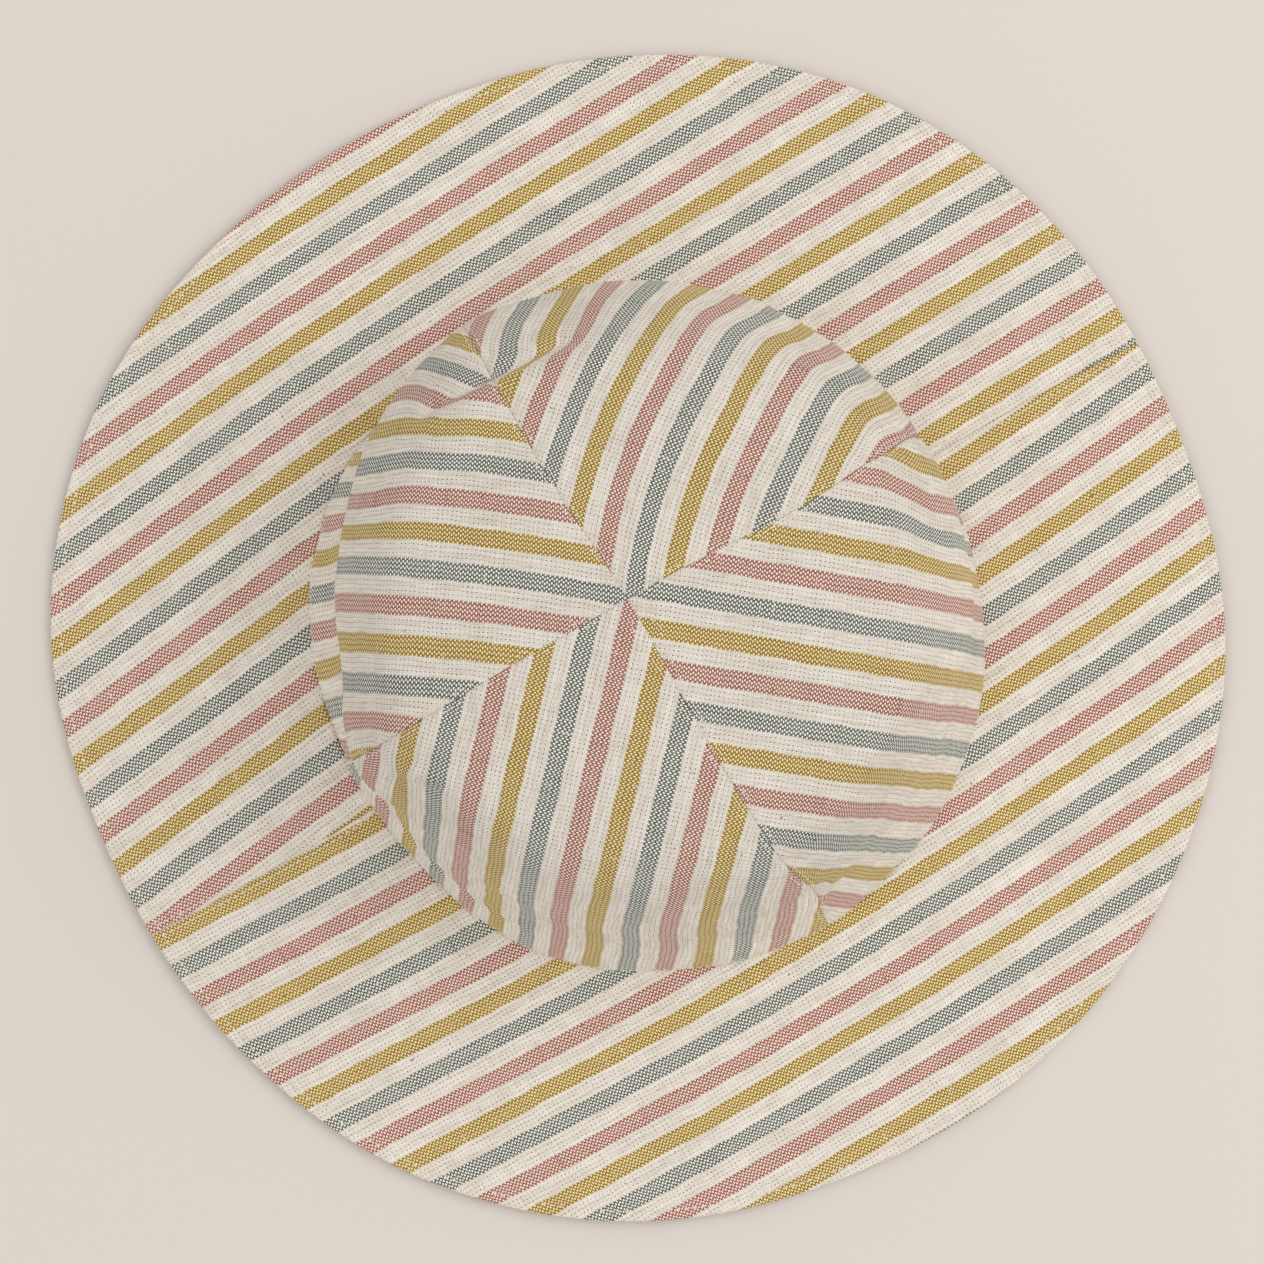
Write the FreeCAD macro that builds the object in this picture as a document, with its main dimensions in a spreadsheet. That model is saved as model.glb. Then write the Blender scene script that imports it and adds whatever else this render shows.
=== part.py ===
"""A child's wide-brimmed cotton sun hat with a crown of four panels.

Frame: millimetres, +Z up. The hat stands on the hem of its brim, so the
hem's underside is Z = 0, and the Z axis runs up through the middle of the
brim. The wearer's front is -Y. The crown's seams run up from the front, the
back and both sides to the middle of the top, and the brim's two seams are at
the sides, so every seam lies on the XZ plane or the YZ plane.
"""

import FreeCAD, Part
import Sketcher
import math
import os

DIMENSIONS = [
    ("brim_radius", 146.0, "outer edge of the brim"),
    ("hem_width", 9.0, "flat part of the brim along its outer edge"),
    ("base_rise", 12.0, "underside of the brim where it meets the crown"),
    ("seat_width", 3.0, "flat ring of brim outside the crown's wall"),
    ("head_radius", 81.0, "inside of the sweatband: a 51 cm head"),
    ("crown_height", 89.0, "top of the crown above the hem"),
    ("wall_rise", 24.0, "upright wall of the crown above the brim"),
    ("shoulder_bend", 44.0, "radius that rolls the wall over into the top"),
    ("shell_cloth", 0.8, "striped cloth of the crown and of the brim"),
    ("lining_cloth", 0.6, "plain cotton lining of the crown"),
    ("stiffener", 0.6, "interlining inside the brim"),
    ("band_cloth", 1.2, "folded sweatband"),
    ("band_height", 25.0, "sweatband from edge to edge"),
    ("thread_width", 0.5, "width of a topstitched row"),
    ("thread_rise", 0.3, "how far a topstitched row stands up"),
    ("row_offset", 1.4, "each topstitched row from the seam beside it"),
    ("edge_row", 2.1, "topstitched row from the brim's edge"),
    ("base_row", 1.3, "topstitched row above the crown's lower seam"),
    ("crossing_gap", 4.0, "bare middle where the crown's seams cross"),
    ("panel_turn", 90.0, "angle that one crown panel takes up"),
    ("half_turn", 180.0, "angle that one half of the brim takes up"),
    ("full_turn", 360.0, "angle of a closed ring"),
]

doc = FreeCAD.newDocument("SunHat")
sheet = doc.addObject("Spreadsheet::Sheet", "Dimensions")
for row, (name, value, meaning) in enumerate(DIMENSIONS, start=1):
    sheet.set("A%d" % row, name)
    sheet.set("B%d" % row, str(value))
    sheet.set("C%d" % row, meaning)
    sheet.setAlias("B%d" % row, name)
doc.recompute()


class Size:
    """A length: its value now, and its expression over the sheet."""

    def __init__(self, text, value):
        self.text = text
        self.value = value

    def __add__(self, other):
        text = "(%s + %s)" % (self.text, other.text)
        return Size(text, self.value + other.value)

    def __sub__(self, other):
        text = "(%s - %s)" % (self.text, other.text)
        return Size(text, self.value - other.value)

    def __mul__(self, other):
        text = "(%s * %s)" % (self.text, other.text)
        return Size(text, self.value * other.value)

    def __truediv__(self, other):
        text = "(%s / %s)" % (self.text, other.text)
        return Size(text, self.value / other.value)


def dim(name):
    """A dimension of the sheet."""
    return Size("Dimensions." + name, float(sheet.get(name)))


ZERO = Size("0", 0.0)
TWO = Size("2", 2.0)

# Radii and heights that several pieces share.
BAND_OUTSIDE = dim("head_radius") + dim("band_cloth")
LINING_OUTSIDE = BAND_OUTSIDE + dim("lining_cloth")
CROWN_OUTSIDE = LINING_OUTSIDE + dim("shell_cloth")
SEAT_EDGE = CROWN_OUTSIDE + dim("seat_width")
HEM_START = dim("brim_radius") - dim("hem_width")
HEM_TOP = dim("shell_cloth") + dim("stiffener") + dim("shell_cloth")
SEAT_TOP = dim("base_rise") + HEM_TOP
WALL_TOP = SEAT_TOP + dim("wall_rise")

PANEL_TURN = dim("panel_turn").value
HALF_TURN = dim("half_turn").value

parts = []


# Helpers --------------------------------------------------------------------


def turned(degrees):
    """A placement turned about the hat's upright axis."""
    axis = FreeCAD.Vector(0, 0, 1)
    return FreeCAD.Placement(FreeCAD.Vector(), FreeCAD.Rotation(axis, degrees))


def new_body(label, turn=0.0):
    """An empty body for one piece of the hat."""
    body = doc.addObject("PartDesign::Body", label)
    body.Label = label
    body.Placement = turned(turn)
    parts.append(body)
    return body


def upright_sketch(body, name):
    """A sketch on the body's XZ plane: x is the radius and y is the height."""
    planes = {plane.Role: plane for plane in body.Origin.OriginFeatures}
    sketch = body.newObject("Sketcher::SketchObject", name)
    sketch.AttachmentSupport = (planes["XZ_Plane"], [""])
    sketch.MapMode = "FlatFace"
    return sketch


def tie(sketch, *relation):
    """A geometric constraint, such as a tangency."""
    sketch.addConstraint(Sketcher.Constraint(*relation))


def measure(sketch, label, size, *geometry):
    """A dimension on sketch geometry, driven by the sheet."""
    constraint = Sketcher.Constraint(*geometry, size.value)
    index = sketch.addConstraint(constraint)
    sketch.renameConstraint(index, label)
    sketch.setExpression("Constraints." + label, size.text)


def outline(sketch, corners):
    """A closed polygon; each corner is a radius and a height."""
    spots = [FreeCAD.Vector(r.value, z.value, 0) for r, z in corners]
    count = len(spots)
    for i, spot in enumerate(spots):
        line = Part.LineSegment(spot, spots[(i + 1) % count])
        sketch.addGeometry(line, False)
    for i in range(count):
        tie(sketch, "Coincident", i, 2, (i + 1) % count, 1)
    for i, (radius, height) in enumerate(corners):
        across = ("DistanceX", -1, 1, i, 1)
        upward = ("DistanceY", -1, 1, i, 1)
        measure(sketch, "radius_%d" % i, radius, *across)
        if height is not ZERO:
            measure(sketch, "height_%d" % i, height, *upward)
        else:
            tie(sketch, "PointOnObject", i, 1, -1)


def revolve(body, sketch, turn):
    """Turns a sketch about the hat's upright axis, from +X towards +Y."""
    ring = body.newObject("PartDesign::Revolution", body.Label + "_turned")
    ring.Profile = sketch
    ring.ReferenceAxis = (sketch, ["V_Axis"])
    ring.Reversed = True
    ring.setExpression("Angle", turn.text)
    body.Tip = ring
    sketch.Visibility = False


# The crown ------------------------------------------------------------------
#
# Every layer of the crown follows the same curve from the brim to the middle
# of the top: an upright wall, a shoulder arc and a wide flat dome arc, each
# tangent to the next. A layer is the band between two curves a constant
# distance apart, so the lining lies against the striped shell with no gap.


def crown_curve(sketch, depth, foot, stop):
    """Draws one curve, depth inside the outer face, and ties its joints.

    It starts at the height foot and stops at the radius stop. It returns
    the number of its first line; the two arcs follow it.
    """
    up = FreeCAD.Vector(0, 0, 1)
    wall_r = CROWN_OUTSIDE.value
    bend = dim("shoulder_bend").value
    peak = dim("crown_height").value
    bend_r = wall_r - bend
    bend_z = WALL_TOP.value
    rise = peak - bend_z
    dome = (bend_r**2 + rise**2 - bend**2) / (2.0 * (rise - bend))
    dome_z = peak - dome
    lean = math.atan2(bend_z - dome_z, bend_r)
    inset = depth.value
    low = FreeCAD.Vector(wall_r - inset, foot.value, 0)
    high = FreeCAD.Vector(wall_r - inset, bend_z, 0)
    bend_mid = FreeCAD.Vector(bend_r, bend_z, 0)
    dome_mid = FreeCAD.Vector(0, dome_z, 0)
    bend_circle = Part.Circle(bend_mid, up, bend - inset)
    dome_circle = Part.Circle(dome_mid, up, dome - inset)
    last = math.acos(stop.value / (dome - inset))
    first = sketch.addGeometry(Part.LineSegment(low, high), False)
    sketch.addGeometry(Part.ArcOfCircle(bend_circle, 0.0, lean), False)
    sketch.addGeometry(Part.ArcOfCircle(dome_circle, lean, last), False)
    tie(sketch, "Vertical", first)
    tie(sketch, "Tangent", first, 2, first + 1, 1)
    tie(sketch, "Tangent", first + 1, 2, first + 2, 1)
    return first


def crown_layer(sketch, outer_depth, inner_depth, foot, stop=ZERO):
    """The closed outline between two curves of the crown."""
    one = crown_curve(sketch, outer_depth, foot, stop)
    two = crown_curve(sketch, inner_depth, foot, stop)
    starts = [sketch.getPoint(one, 1), sketch.getPoint(two, 1)]
    ends = [sketch.getPoint(one + 2, 2), sketch.getPoint(two + 2, 2)]
    hem = sketch.addGeometry(Part.LineSegment(*starts), False)
    tip = sketch.addGeometry(Part.LineSegment(*ends), False)
    tie(sketch, "Coincident", hem, 1, one, 1)
    tie(sketch, "Coincident", hem, 2, two, 1)
    tie(sketch, "Coincident", tip, 1, one + 2, 2)
    tie(sketch, "Coincident", tip, 2, two + 2, 2)
    tie(sketch, "Horizontal", hem)
    tie(sketch, "Vertical", tip)
    tie(sketch, "Coincident", one + 1, 3, two + 1, 3)
    tie(sketch, "Coincident", one + 2, 3, two + 2, 3)
    tie(sketch, "PointOnObject", one + 2, 3, -2)
    wall = CROWN_OUTSIDE - outer_depth
    inner_wall = CROWN_OUTSIDE - inner_depth
    bend = dim("shoulder_bend") - outer_depth
    peak = dim("crown_height") - outer_depth
    measure(sketch, "wall", wall, "DistanceX", -1, 1, one, 1)
    measure(sketch, "inner_wall", inner_wall, "DistanceX", -1, 1, two, 1)
    measure(sketch, "foot", foot, "DistanceY", -1, 1, one, 1)
    measure(sketch, "wall_top", WALL_TOP, "DistanceY", -1, 1, one, 2)
    measure(sketch, "bend", bend, "Radius", one + 1)
    if stop is ZERO:
        tie(sketch, "PointOnObject", tip, 1, -2)
        measure(sketch, "peak", peak, "DistanceY", -1, 1, tip, 1)
        return
    mark = FreeCAD.Vector(0, peak.value, 0)
    pin = sketch.addGeometry(Part.Point(mark), True)
    tie(sketch, "PointOnObject", pin, 1, -2)
    tie(sketch, "PointOnObject", pin, 1, one + 2)
    measure(sketch, "peak", peak, "DistanceY", -1, 1, pin, 1)
    measure(sketch, "stop", stop, "DistanceX", -1, 1, tip, 1)


QUARTERS = ["back_right", "back_left", "front_left", "front_right"]
LINING_DEPTH = dim("shell_cloth") + dim("lining_cloth")

for step, side in enumerate(QUARTERS):
    panel = new_body("crown_panel_" + side, step * PANEL_TURN)
    profile = upright_sketch(panel, "panel_profile_" + side)
    crown_layer(profile, ZERO, dim("shell_cloth"), SEAT_TOP)
    revolve(panel, profile, dim("panel_turn"))

for step, side in enumerate(QUARTERS):
    panel = new_body("lining_panel_" + side, step * PANEL_TURN)
    profile = upright_sketch(panel, "lining_profile_" + side)
    crown_layer(profile, dim("shell_cloth"), LINING_DEPTH, SEAT_TOP)
    revolve(panel, profile, dim("panel_turn"))


# The sweatband --------------------------------------------------------------

band = new_body("sweatband")
band_profile = upright_sketch(band, "band_profile")
BAND_LOW = dim("base_rise")
BAND_HIGH = dim("base_rise") + dim("band_height")
outline(
    band_profile,
    [
        (dim("head_radius"), BAND_LOW),
        (BAND_OUTSIDE, BAND_LOW),
        (BAND_OUTSIDE, BAND_HIGH),
        (dim("head_radius"), BAND_HIGH),
    ],
)
revolve(band, band_profile, dim("full_turn"))


# The brim -------------------------------------------------------------------
#
# Three layers lie face to face: the striped underside, the interlining and
# the striped top. Each is a flat seat under the crown's wall, a slope and a
# flat hem. The crown and its lining stand on the top layer's seat.


def brim_layer(sketch, low, high):
    """A brim layer between two heights above the underside."""
    rise = dim("base_rise")
    edge = dim("brim_radius")
    seat_low = rise if low is ZERO else rise + low
    outline(
        sketch,
        [
            (BAND_OUTSIDE, seat_low),
            (SEAT_EDGE, seat_low),
            (HEM_START, low),
            (edge, low),
            (edge, high),
            (HEM_START, high),
            (SEAT_EDGE, rise + high),
            (BAND_OUTSIDE, rise + high),
        ],
    )


UNDER_TOP = dim("shell_cloth")
CORE_TOP = dim("shell_cloth") + dim("stiffener")

for step, side in enumerate(["back", "front"]):
    half = new_body("brim_under_" + side, step * HALF_TURN)
    profile = upright_sketch(half, "under_profile_" + side)
    brim_layer(profile, ZERO, UNDER_TOP)
    revolve(half, profile, dim("half_turn"))

core = new_body("brim_interlining")
core_profile = upright_sketch(core, "interlining_profile")
brim_layer(core_profile, UNDER_TOP, CORE_TOP)
revolve(core, core_profile, dim("full_turn"))

for step, side in enumerate(["back", "front"]):
    half = new_body("brim_top_" + side, step * HALF_TURN)
    profile = upright_sketch(half, "top_profile_" + side)
    brim_layer(profile, CORE_TOP, HEM_TOP)
    revolve(half, profile, dim("half_turn"))


# Topstitching that runs round the hat ---------------------------------------

ROW_OUT = dim("brim_radius") - dim("edge_row")
ROW_IN = ROW_OUT - dim("thread_width")
ROW_TOP = HEM_TOP + dim("thread_rise")
edge_row = new_body("brim_edge_stitching")
edge_profile = upright_sketch(edge_row, "edge_row_profile")
outline(
    edge_profile,
    [
        (ROW_IN, HEM_TOP),
        (ROW_OUT, HEM_TOP),
        (ROW_OUT, ROW_TOP),
        (ROW_IN, ROW_TOP),
    ],
)
revolve(edge_row, edge_profile, dim("full_turn"))

BASE_LOW = SEAT_TOP + dim("base_row")
BASE_HIGH = BASE_LOW + dim("thread_width")
BASE_OUT = CROWN_OUTSIDE + dim("thread_rise")
base_row = new_body("crown_base_stitching")
base_profile = upright_sketch(base_row, "base_row_profile")
outline(
    base_profile,
    [
        (CROWN_OUTSIDE, BASE_LOW),
        (BASE_OUT, BASE_LOW),
        (BASE_OUT, BASE_HIGH),
        (CROWN_OUTSIDE, BASE_HIGH),
    ],
)
revolve(base_row, base_profile, dim("full_turn"))


# Topstitching that runs along the seams -------------------------------------
#
# Two rows flank each seam. A row is a thin strip that follows the crown's
# curve, or the brim's slope and hem, in a plane beside the seam's plane.


def strip(name, side, draw):
    """One row: an upright sketch, pushed sideways by the row's width."""
    half_width = dim("thread_width") / TWO
    near = dim("row_offset") - half_width
    far = ZERO - dim("row_offset") - half_width
    sketch = doc.addObject("Sketcher::SketchObject", name + "_profile")
    upright = FreeCAD.Rotation(FreeCAD.Vector(1, 0, 0), 90)
    sketch.Placement = FreeCAD.Placement(FreeCAD.Vector(), upright)
    place = near if side > 0 else far
    sketch.setExpression("Placement.Base.y", place.text)
    sketch.Visibility = False
    draw(sketch)
    row = doc.addObject("Part::Extrusion", name)
    row.Base = sketch
    row.DirMode = "Custom"
    row.Dir = FreeCAD.Vector(0, 1, 0)
    row.Solid = True
    row.setExpression("LengthFwd", dim("thread_width").text)
    row.Visibility = False
    return row


def seam_rows(label, turns, draw):
    """The rows on both sides of the seams at some turns, as one piece."""
    pairs = []
    for index, turn in enumerate(turns):
        stem = "%s_%d" % (label, index)
        pair = doc.addObject("Part::Compound", stem + "_pair")
        near = strip(stem + "_near", 1, draw)
        far = strip(stem + "_far", -1, draw)
        pair.Links = [near, far]
        pair.Placement = turned(turn)
        pair.Visibility = False
        pairs.append(pair)
    piece = doc.addObject("Part::Compound", label)
    piece.Label = label
    piece.Links = pairs
    parts.append(piece)


def crown_row(sketch):
    """A row up the outer face of the crown, from its foot to the crossing."""
    outside = ZERO - dim("thread_rise")
    foot = BASE_HIGH + dim("base_row")
    crown_layer(sketch, outside, ZERO, foot, dim("crossing_gap"))


def brim_row(sketch):
    """A row down the slope of the brim and across its hem."""
    start = SEAT_EDGE + dim("base_row")
    steepness = dim("base_rise") / (HEM_START - SEAT_EDGE)
    drop = steepness * dim("base_row")
    low = SEAT_TOP - drop
    stop = ROW_IN - dim("thread_width")
    outline(
        sketch,
        [
            (start, low),
            (HEM_START, HEM_TOP),
            (stop, HEM_TOP),
            (stop, ROW_TOP),
            (HEM_START, ROW_TOP),
            (start, low + dim("thread_rise")),
        ],
    )


RIGHT_SEAM = 0.0
BACK_SEAM = PANEL_TURN
LEFT_SEAM = HALF_TURN
FRONT_SEAM = HALF_TURN + PANEL_TURN
seam_rows("crown_side_seam_stitching", [RIGHT_SEAM, LEFT_SEAM], crown_row)
seam_rows("crown_back_seam_stitching", [BACK_SEAM], crown_row)
seam_rows("crown_front_seam_stitching", [FRONT_SEAM], crown_row)
seam_rows("brim_right_seam_stitching", [RIGHT_SEAM], brim_row)
seam_rows("brim_left_seam_stitching", [LEFT_SEAM], brim_row)


# Checks and files -----------------------------------------------------------

doc.recompute()
for thing in doc.Objects:
    if "Invalid" in thing.State or "Error" in thing.State:
        raise RuntimeError("%s did not build: %s" % (thing.Label, thing.State))

for piece in parts:
    shape = piece.Shape
    if shape.isNull() or not shape.isValid() or not shape.Solids:
        raise RuntimeError(piece.Label + " has no valid solid")

os.makedirs("parts", exist_ok=True)
for piece in parts:
    shape = piece.Shape
    shape.exportStep("parts/" + piece.Label + ".step")
    box = shape.BoundBox
    print(
        "%-28s %d solids %9.1f mm3  z %.2f to %.2f"
        % (piece.Label, len(shape.Solids), shape.Volume, box.ZMin, box.ZMax)
    )
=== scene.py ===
"""A child's wide-brimmed sun hat in striped cotton, lying on a pale table.

Shapes are worked out in millimetres, on axes turned so that +X is the camera's
right. place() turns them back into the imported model's frame, in metres.
"""

import math

import bpy
import numpy as np
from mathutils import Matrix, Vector


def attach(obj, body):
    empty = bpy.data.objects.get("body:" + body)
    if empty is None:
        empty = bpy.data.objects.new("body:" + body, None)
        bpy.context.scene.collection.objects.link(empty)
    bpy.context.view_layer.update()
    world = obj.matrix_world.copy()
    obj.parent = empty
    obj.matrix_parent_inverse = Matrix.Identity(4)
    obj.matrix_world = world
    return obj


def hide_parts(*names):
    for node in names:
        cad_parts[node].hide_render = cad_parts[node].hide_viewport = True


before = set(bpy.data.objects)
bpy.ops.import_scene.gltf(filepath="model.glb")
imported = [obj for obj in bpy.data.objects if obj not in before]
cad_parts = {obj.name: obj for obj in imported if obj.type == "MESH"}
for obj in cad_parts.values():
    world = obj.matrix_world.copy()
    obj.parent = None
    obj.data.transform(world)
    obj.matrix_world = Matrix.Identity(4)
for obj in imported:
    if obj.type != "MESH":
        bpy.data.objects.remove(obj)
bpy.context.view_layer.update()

MM = 0.001
FULL = 2 * math.pi
TURN = math.radians(31.6)  # from the model's frame to the camera's turn of it


# ---- small tools ------------------------------------------------------------


def around(values, phi):
    """Smooth closed curve through values at equal steps of azimuth from 0."""
    values = np.asarray(values, float)
    n = len(values)
    x = (np.asarray(phi) % FULL) / FULL * n
    i = np.floor(x).astype(int)
    f = x - i
    a, b, c, d = (values[(i + k) % n] for k in (-1, 0, 1, 2))
    return b + 0.5 * f * (c - a + f * (2 * a - 5 * b + 4 * c - d + f * (3 * (b - c) + d - a)))


def smooth(x, low, high):
    """0 below low, 1 above high, and smooth between."""
    x = np.clip((x - low) / (high - low), 0, 1)
    return x * x * (3 - 2 * x)


def bump(x, half):
    """1 at 0, falling smoothly to 0 at plus and minus half."""
    x = np.clip(np.abs(x) / half, 0, 1)
    return (1 - x * x) ** 2


def wrapped(angle):
    """The same angle, from -pi to pi."""
    return (angle + math.pi) % FULL - math.pi


def swing(phi, centre):
    """Signed azimuth from a centre given in degrees, from -pi to pi."""
    return wrapped(phi - math.radians(centre))


def along(keys, where, t):
    """Cubic through rows of keys (K, n) at positions where (K), at t (m)."""
    keys = np.asarray(keys, float)
    where = np.asarray(where, float)
    gap = np.diff(where)[:, None]
    slope = np.diff(keys, axis=0) / gap
    tangent = np.empty_like(keys)
    tangent[1:-1] = (slope[:-1] * gap[1:] + slope[1:] * gap[:-1]) / (gap[1:] + gap[:-1])
    tangent[0] = slope[0]
    tangent[-1] = slope[-1]
    i = np.clip(np.searchsorted(where, t, side="right") - 1, 0, len(where) - 2)
    h = (where[i + 1] - where[i])[:, None]
    f = ((t - where[i]) / (where[i + 1] - where[i]))[:, None]
    return (
        keys[i] * (1 + 2 * f) * (1 - f) ** 2
        + tangent[i] * h * f * (1 - f) ** 2
        + keys[i + 1] * f * f * (3 - 2 * f)
        + tangent[i + 1] * h * f * f * (f - 1)
    )


WAVES = 6  # sine waves that make up a ripple


def ripple(points, wave, seed):
    """Smooth noise, mostly from -1 to 1, at points (..., 3), with that wavelength."""
    rng = np.random.default_rng(seed)
    total = np.zeros(points.shape[:-1])
    for _ in range(WAVES):
        way = rng.normal(size=3)
        way /= np.linalg.norm(way)
        step = FULL / (wave * rng.uniform(0.75, 1.35))
        total += np.sin(points @ way * step + rng.uniform(0, FULL))
    return total / math.sqrt(WAVES) / 1.4


def place(points):
    """Camera-turned millimetres to metres in the model's frame."""
    c, s = math.cos(TURN), math.sin(TURN)
    out = np.empty_like(points)
    out[..., 0] = c * points[..., 0] + s * points[..., 1]
    out[..., 1] = -s * points[..., 0] + c * points[..., 1]
    out[..., 2] = points[..., 2]
    return out * MM


def place_one(x, y, z):
    return tuple(place(np.array([[x, y, z]], float))[0])


# ---- the smooth surfaces ----------------------------------------------------

TOP = 88.3  # height of the crown
SEAT = 13.9  # height of the seam between crown and brim
APEX = (-2.1, 8.4)  # where the four crown seams meet
LEAN = (3.6, 5.6)  # middle of the crown's shoulder
BASE = (1.2, 0.8)  # middle of the seam between crown and brim

# Radii of the crown about its moving middle, at azimuths 0, 45, 90 ...
FOLD_R = [73.0, 75.0, 77.0, 77.8, 73.5, 73.5, 74.0, 71.5]
WAIST_R = [76.5, 74.0, 77.0, 76.5, 71.0, 73.4, 77.0, 75.0]
FLARE_R = [80.5, 78.0, 79.5, 78.5, 75.0, 75.4, 79.5, 80.5]
# Radii of the crown's base and of the brim's edge, at azimuths 0, 22.5, 45 ...
BASE_R = [
    84.0, 82.3, 82.5, 83.0, 83.0, 83.0, 83.0, 83.6,
    81.6, 79.8, 79.2, 82.2, 83.0, 84.5, 85.6, 85.0,
]
RIM_R = [
    146.0, 143.5, 145.5, 146.4, 144.3, 141.8, 142.5, 145.7,
    145.6, 141.8, 142.3, 144.8, 145.3, 144.0, 145.6, 146.1,
]
# The crown bulges outward where its two left corners are folded: azimuth and
# half width in degrees, and how far.
EARS = [(124, 17, 2.6), (207, 17, 5.2)]

FINE = 720  # meridians of the smooth surfaces
STEPS = 320  # rows of the smooth surfaces


class Surface:
    """A smooth surface by azimuth and share of the way down its meridian."""

    def __init__(self, x, y, z):
        """From meridians, one a column, which are evened to equal steps of length."""
        raw = np.stack([x, y, z], -1)
        step = np.linalg.norm(np.diff(raw, axis=0), axis=2)
        run = np.vstack([np.zeros(FINE), np.cumsum(step, axis=0)])
        points = np.empty((STEPS, FINE, 3))
        self.length = np.empty((STEPS, FINE))
        for j in range(FINE):
            want = np.linspace(0, run[-1, j], STEPS)
            for c in range(3):
                points[:, j, c] = np.interp(want, run[:, j], raw[:, j, c])
            self.length[:, j] = want
        self.points = points
        turn = (np.roll(points, -1, 1) - np.roll(points, 1, 1)) / 2
        normal = np.cross(np.gradient(points, axis=0), turn)
        size = np.linalg.norm(normal, axis=2, keepdims=True)
        normal[size[..., 0] < 1e-9] = (0, 0, 1)
        self.normal = normal / np.maximum(size, 1e-9)

    def look(self, table, phi, t):
        x = (phi % FULL) / FULL * FINE
        y = np.clip(t, 0, 1) * (STEPS - 1)
        i = np.floor(x).astype(int)
        j = np.minimum(np.floor(y).astype(int), STEPS - 2)
        f, g = x - i, y - j
        if table.ndim == 3:
            f, g = f[..., None], g[..., None]
        a, b = table[j, i % FINE], table[j, (i + 1) % FINE]
        c, d = table[j + 1, i % FINE], table[j + 1, (i + 1) % FINE]
        return (a * (1 - f) + b * f) * (1 - g) + (c * (1 - f) + d * f) * g

    def at(self, phi, t):
        """Point, outward normal and length down the meridian."""
        normal = self.look(self.normal, phi, t)
        normal /= np.linalg.norm(normal, axis=-1, keepdims=True)
        return self.look(self.points, phi, t), normal, self.look(self.length, phi, t)

    def whole(self, phi):
        """Whole length of the meridians."""
        return self.look(self.length, phi, np.ones_like(phi))


def swept(phi, where, radius, height, cx, cy):
    """The surface through rings given by radius, height and middle.

    where gives each ring's share of the way down.
    """
    t = np.linspace(0, 1, 4 * STEPS)
    one = np.ones(FINE)
    r, z, x, y = (
        along([ring * one for ring in rings], where, t) for rings in (radius, height, cx, cy)
    )
    return Surface(x + r * np.cos(phi), y + r * np.sin(phi), z)


def make_crown():
    phi = np.arange(FINE) / FINE * FULL
    ear = sum(far * bump(swing(phi, at), math.radians(half)) for at, half, far in EARS)
    fold = around(FOLD_R, phi) + ear
    where = [0.0, 0.16, 0.34, 0.50, 0.62, 0.74, 0.87, 1.0]
    radius = [
        0.0,
        24.0,
        46.0,
        31.5 + 0.43 * fold,
        fold,
        around(WAIST_R, phi) + 0.6 * ear,
        around(FLARE_R, phi),
        around(BASE_R, phi),
    ]
    height = [TOP, TOP - 0.9, TOP - 4.4, TOP - 13.0, 56.0, 41.0, 26.0, SEAT]
    # The middle moves from the apex to the shoulder's, and then to the base's.
    share = [0.0, 0.35, 0.7, 0.9, 1.0, 0.75, 0.35, 0.0]
    start = [APEX] * 4 + [BASE] * 4
    cx = [s[0] + (LEAN[0] - s[0]) * m for s, m in zip(start, share)]
    cy = [s[1] + (LEAN[1] - s[1]) * m for s, m in zip(start, share)]
    return swept(phi, where, radius, height, cx, cy)


def make_brim():
    phi = np.arange(FINE) / FINE * FULL
    base = around(BASE_R, phi)
    rim = around(RIM_R, phi)
    where = [0.0, 0.10, 0.26, 0.50, 0.78, 1.0]
    radius = [base + (rim - base) * f for f in where]
    # The edge comes down to the table in places and lifts a little between.
    lift = 0.9 + 0.5 * np.sin(3 * phi + 0.6) + 0.4 * np.sin(5 * phi + 2.0)
    level = [SEAT, 13.0, 10.6, 7.3, 4.3, 2.5]
    height = [z + share * lift for z, share in zip(level, [0.0, 0.2, 0.5, 0.9, 0.9, 0.8])]
    stay = [1.0, 0.9, 0.7, 0.4, 0.1, 0.0]
    cx, cy = ([middle * s for s in stay] for middle in BASE)
    return swept(phi, where, radius, height, cx, cy)


crown = make_crown()
brim = make_brim()

# Azimuth of each seam, in degrees, at even steps down the crown or brim.
CROWN_SEAMS = {
    "right": [35.0, 32.3, 34.2, 33.2, 33.7],
    "back": [126.5, 126.0, 124.0, 123.5, 123.5],
    "left": [205.5, 205.3, 206.2, 206.0, 204.3],
    "front": [296.5, 296.0, 297.3, 300.5, 302.5],
}
BRIM_SEAMS = {
    "right": [31.5, 31.2, 31.0, 30.7, 30.4],
    "left": [213.2, 213.0, 212.6, 212.1, 211.6],
}
# The seams at each piece's two sides, anticlockwise.
PANELS = {
    "back_right": ("right", "back"),
    "back_left": ("back", "left"),
    "front_left": ("left", "front"),
    "front_right": ("front", "right"),
}
HALVES = {"back": ("right", "left"), "front": ("left", "right")}


def seam_azimuth(table, name, t):
    """Azimuth in radians of a seam at shares t of the way down."""
    keys = np.array(table[name], float)[:, None]
    return np.radians(along(keys, np.linspace(0, 1, len(keys)), t)[:, 0])


def sector(surface, table, sides, shares, t):
    """Azimuths, points, normals and lengths of a grid between two seams.

    The last value is the angle from each point to the nearer seam.
    """
    a = seam_azimuth(table, sides[0], t)
    b = seam_azimuth(table, sides[1], t)
    wide = (np.where(b < a, b + FULL, b) - a)[:, None]
    phi = a[:, None] + wide * shares[None]
    point, normal, length = surface.at(phi, np.repeat(t[:, None], len(shares), 1))
    return phi, point, normal, length, np.minimum(shares, 1 - shares)[None] * wide


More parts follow.
